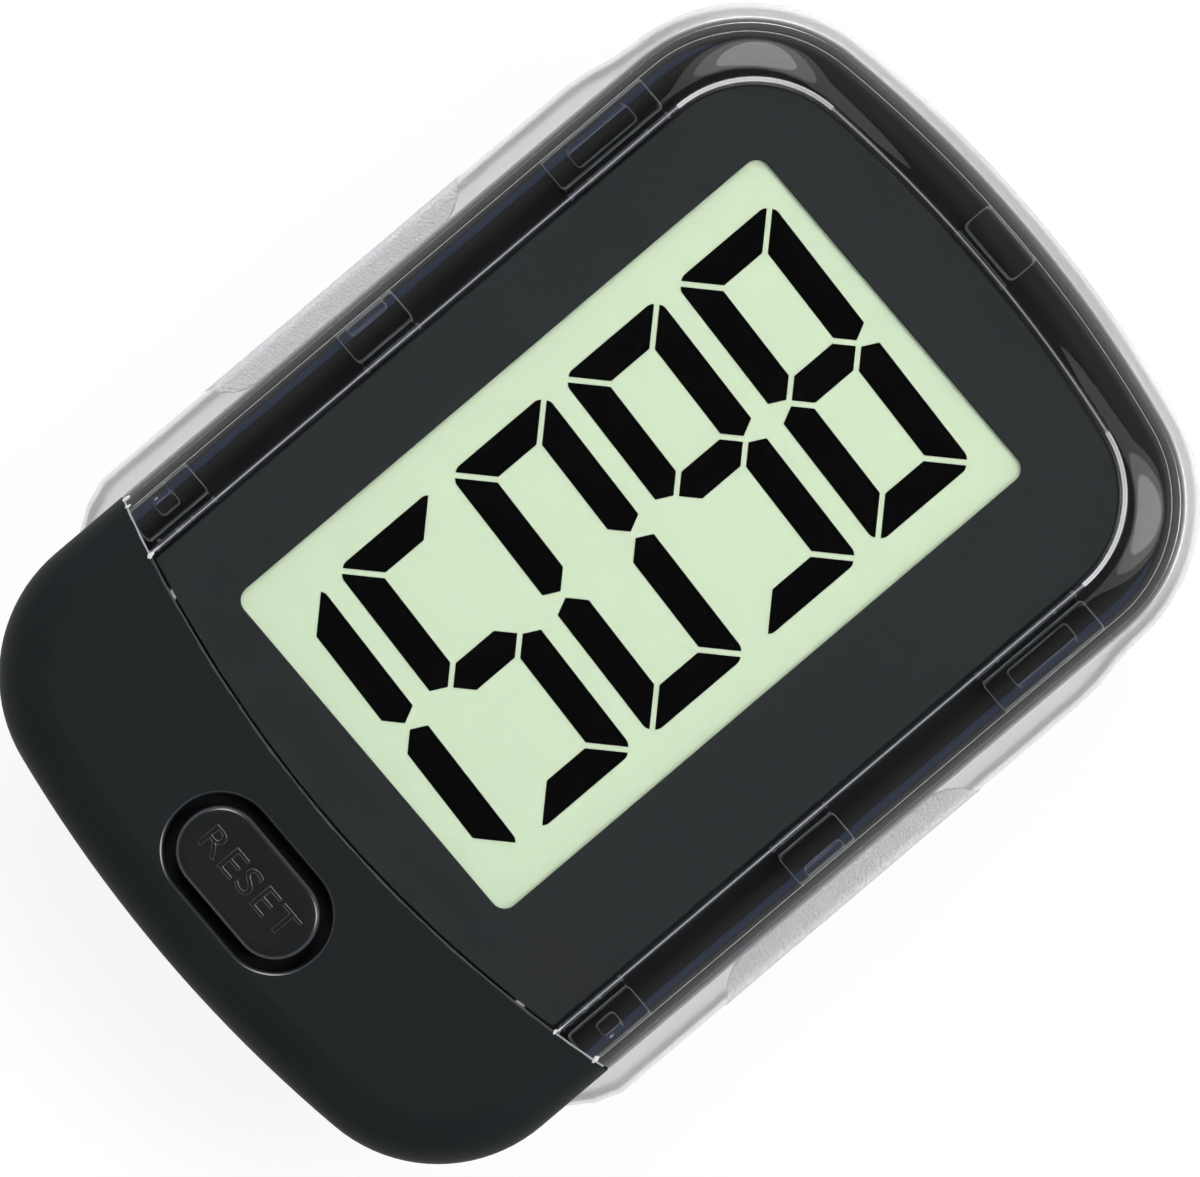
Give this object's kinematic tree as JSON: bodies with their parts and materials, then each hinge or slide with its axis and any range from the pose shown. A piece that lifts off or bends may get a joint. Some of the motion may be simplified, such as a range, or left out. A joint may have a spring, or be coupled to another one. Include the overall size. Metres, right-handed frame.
{
  "type": "clip-on pedometer",
  "caption": "Pocket step counter with a digit display behind a clear cover, a reset button in a black end cap, a sliding battery door and a sprung belt clip.",
  "frame": {"origin": "on the flat back of the belt clip, under the middle of the case's length and width; the part lies on its clip with the display facing up", "axes": "+X across the case to the right as the reset button is held at the bottom, +Y along the case towards the clear end, +Z out of the display"},
  "size_m": [0.0406, 0.0574, 0.0184],
  "materials": {
    "clear_plastic": "polished clear moulding",
    "frosted_plastic": "clear moulding with frosted grips",
    "black_plastic": "fine satin moulding",
    "mask_black": "smooth printed film",
    "button_black": "soft satin",
    "silicone": "matt",
    "display_glass": "polished",
    "display_green": "even pale green",
    "segment_black": "flat black",
    "strip_rubber": "matt",
    "board_green": "solder mask",
    "epoxy": "poured resin",
    "chip_tan": "matt",
    "chip_dark": "moulded package",
    "tin": "drawn can",
    "steel": "bright nickel",
    "spring_steel": "drawn wire and strip"
  },
  "bodies": {
    "case": {"rear_shell": "frosted_plastic", "front_cover": "clear_plastic", "bottom_cap": "black_plastic", "inner_frame": "black_plastic", "display_mask": "mask_black", "display_front_glass": "display_glass", "segment_film": "segment_black", "display_rear_glass": "display_glass", "display_reflector": "display_green", "left_contact_strip": "strip_rubber", "right_contact_strip": "strip_rubber", "circuit_board": "board_green", "processor_blob": "epoxy", "motion_sensor": "chip_dark", "clock_crystal": "tin", "capacitor_left": "chip_tan", "capacitor_middle": "chip_tan", "capacitor_top": "chip_tan", "resistor_left": "chip_dark", "resistor_top": "chip_dark", "battery_holder": "black_plastic", "coin_cell": "steel", "positive_contact": "spring_steel", "negative_contact": "spring_steel", "button_pad": "silicone", "clip_pin": "steel", "clip_spring": "spring_steel", "case_screw_upper_left": "steel", "case_screw_upper_right": "steel", "case_screw_lower_left": "steel", "case_screw_lower_right": "steel", "board_screw_left": "steel", "board_screw_right": "steel"},
    "reset_button": {"reset_button": "button_black"},
    "battery_door": {"battery_door": "frosted_plastic"},
    "belt_clip": {"belt_clip": "black_plastic"}
  },
  "joints": [
    {"name": "reset_press", "type": "slide", "parent": "case", "child": "reset_button", "axis": [0, 0, -1], "range_m": [0, 0.0006], "stiffness_N_per_m": 300, "springref_m": -0.002, "deforming": ["button_pad"]},
    {"name": "clip_swing", "type": "hinge", "parent": "case", "child": "belt_clip", "pos_m": [0, 0.012, 0.0042], "axis": [1, 0, 0], "range_deg": [0, 18], "stiffness_Nm_per_rad": 0.01, "springref_deg": -14.32, "deforming": ["clip_spring"]},
    {"name": "battery_door_slide", "type": "slide", "parent": "case", "child": "battery_door", "axis": [0, -1, 0], "range_m": [0, 0.036]}
  ]
}
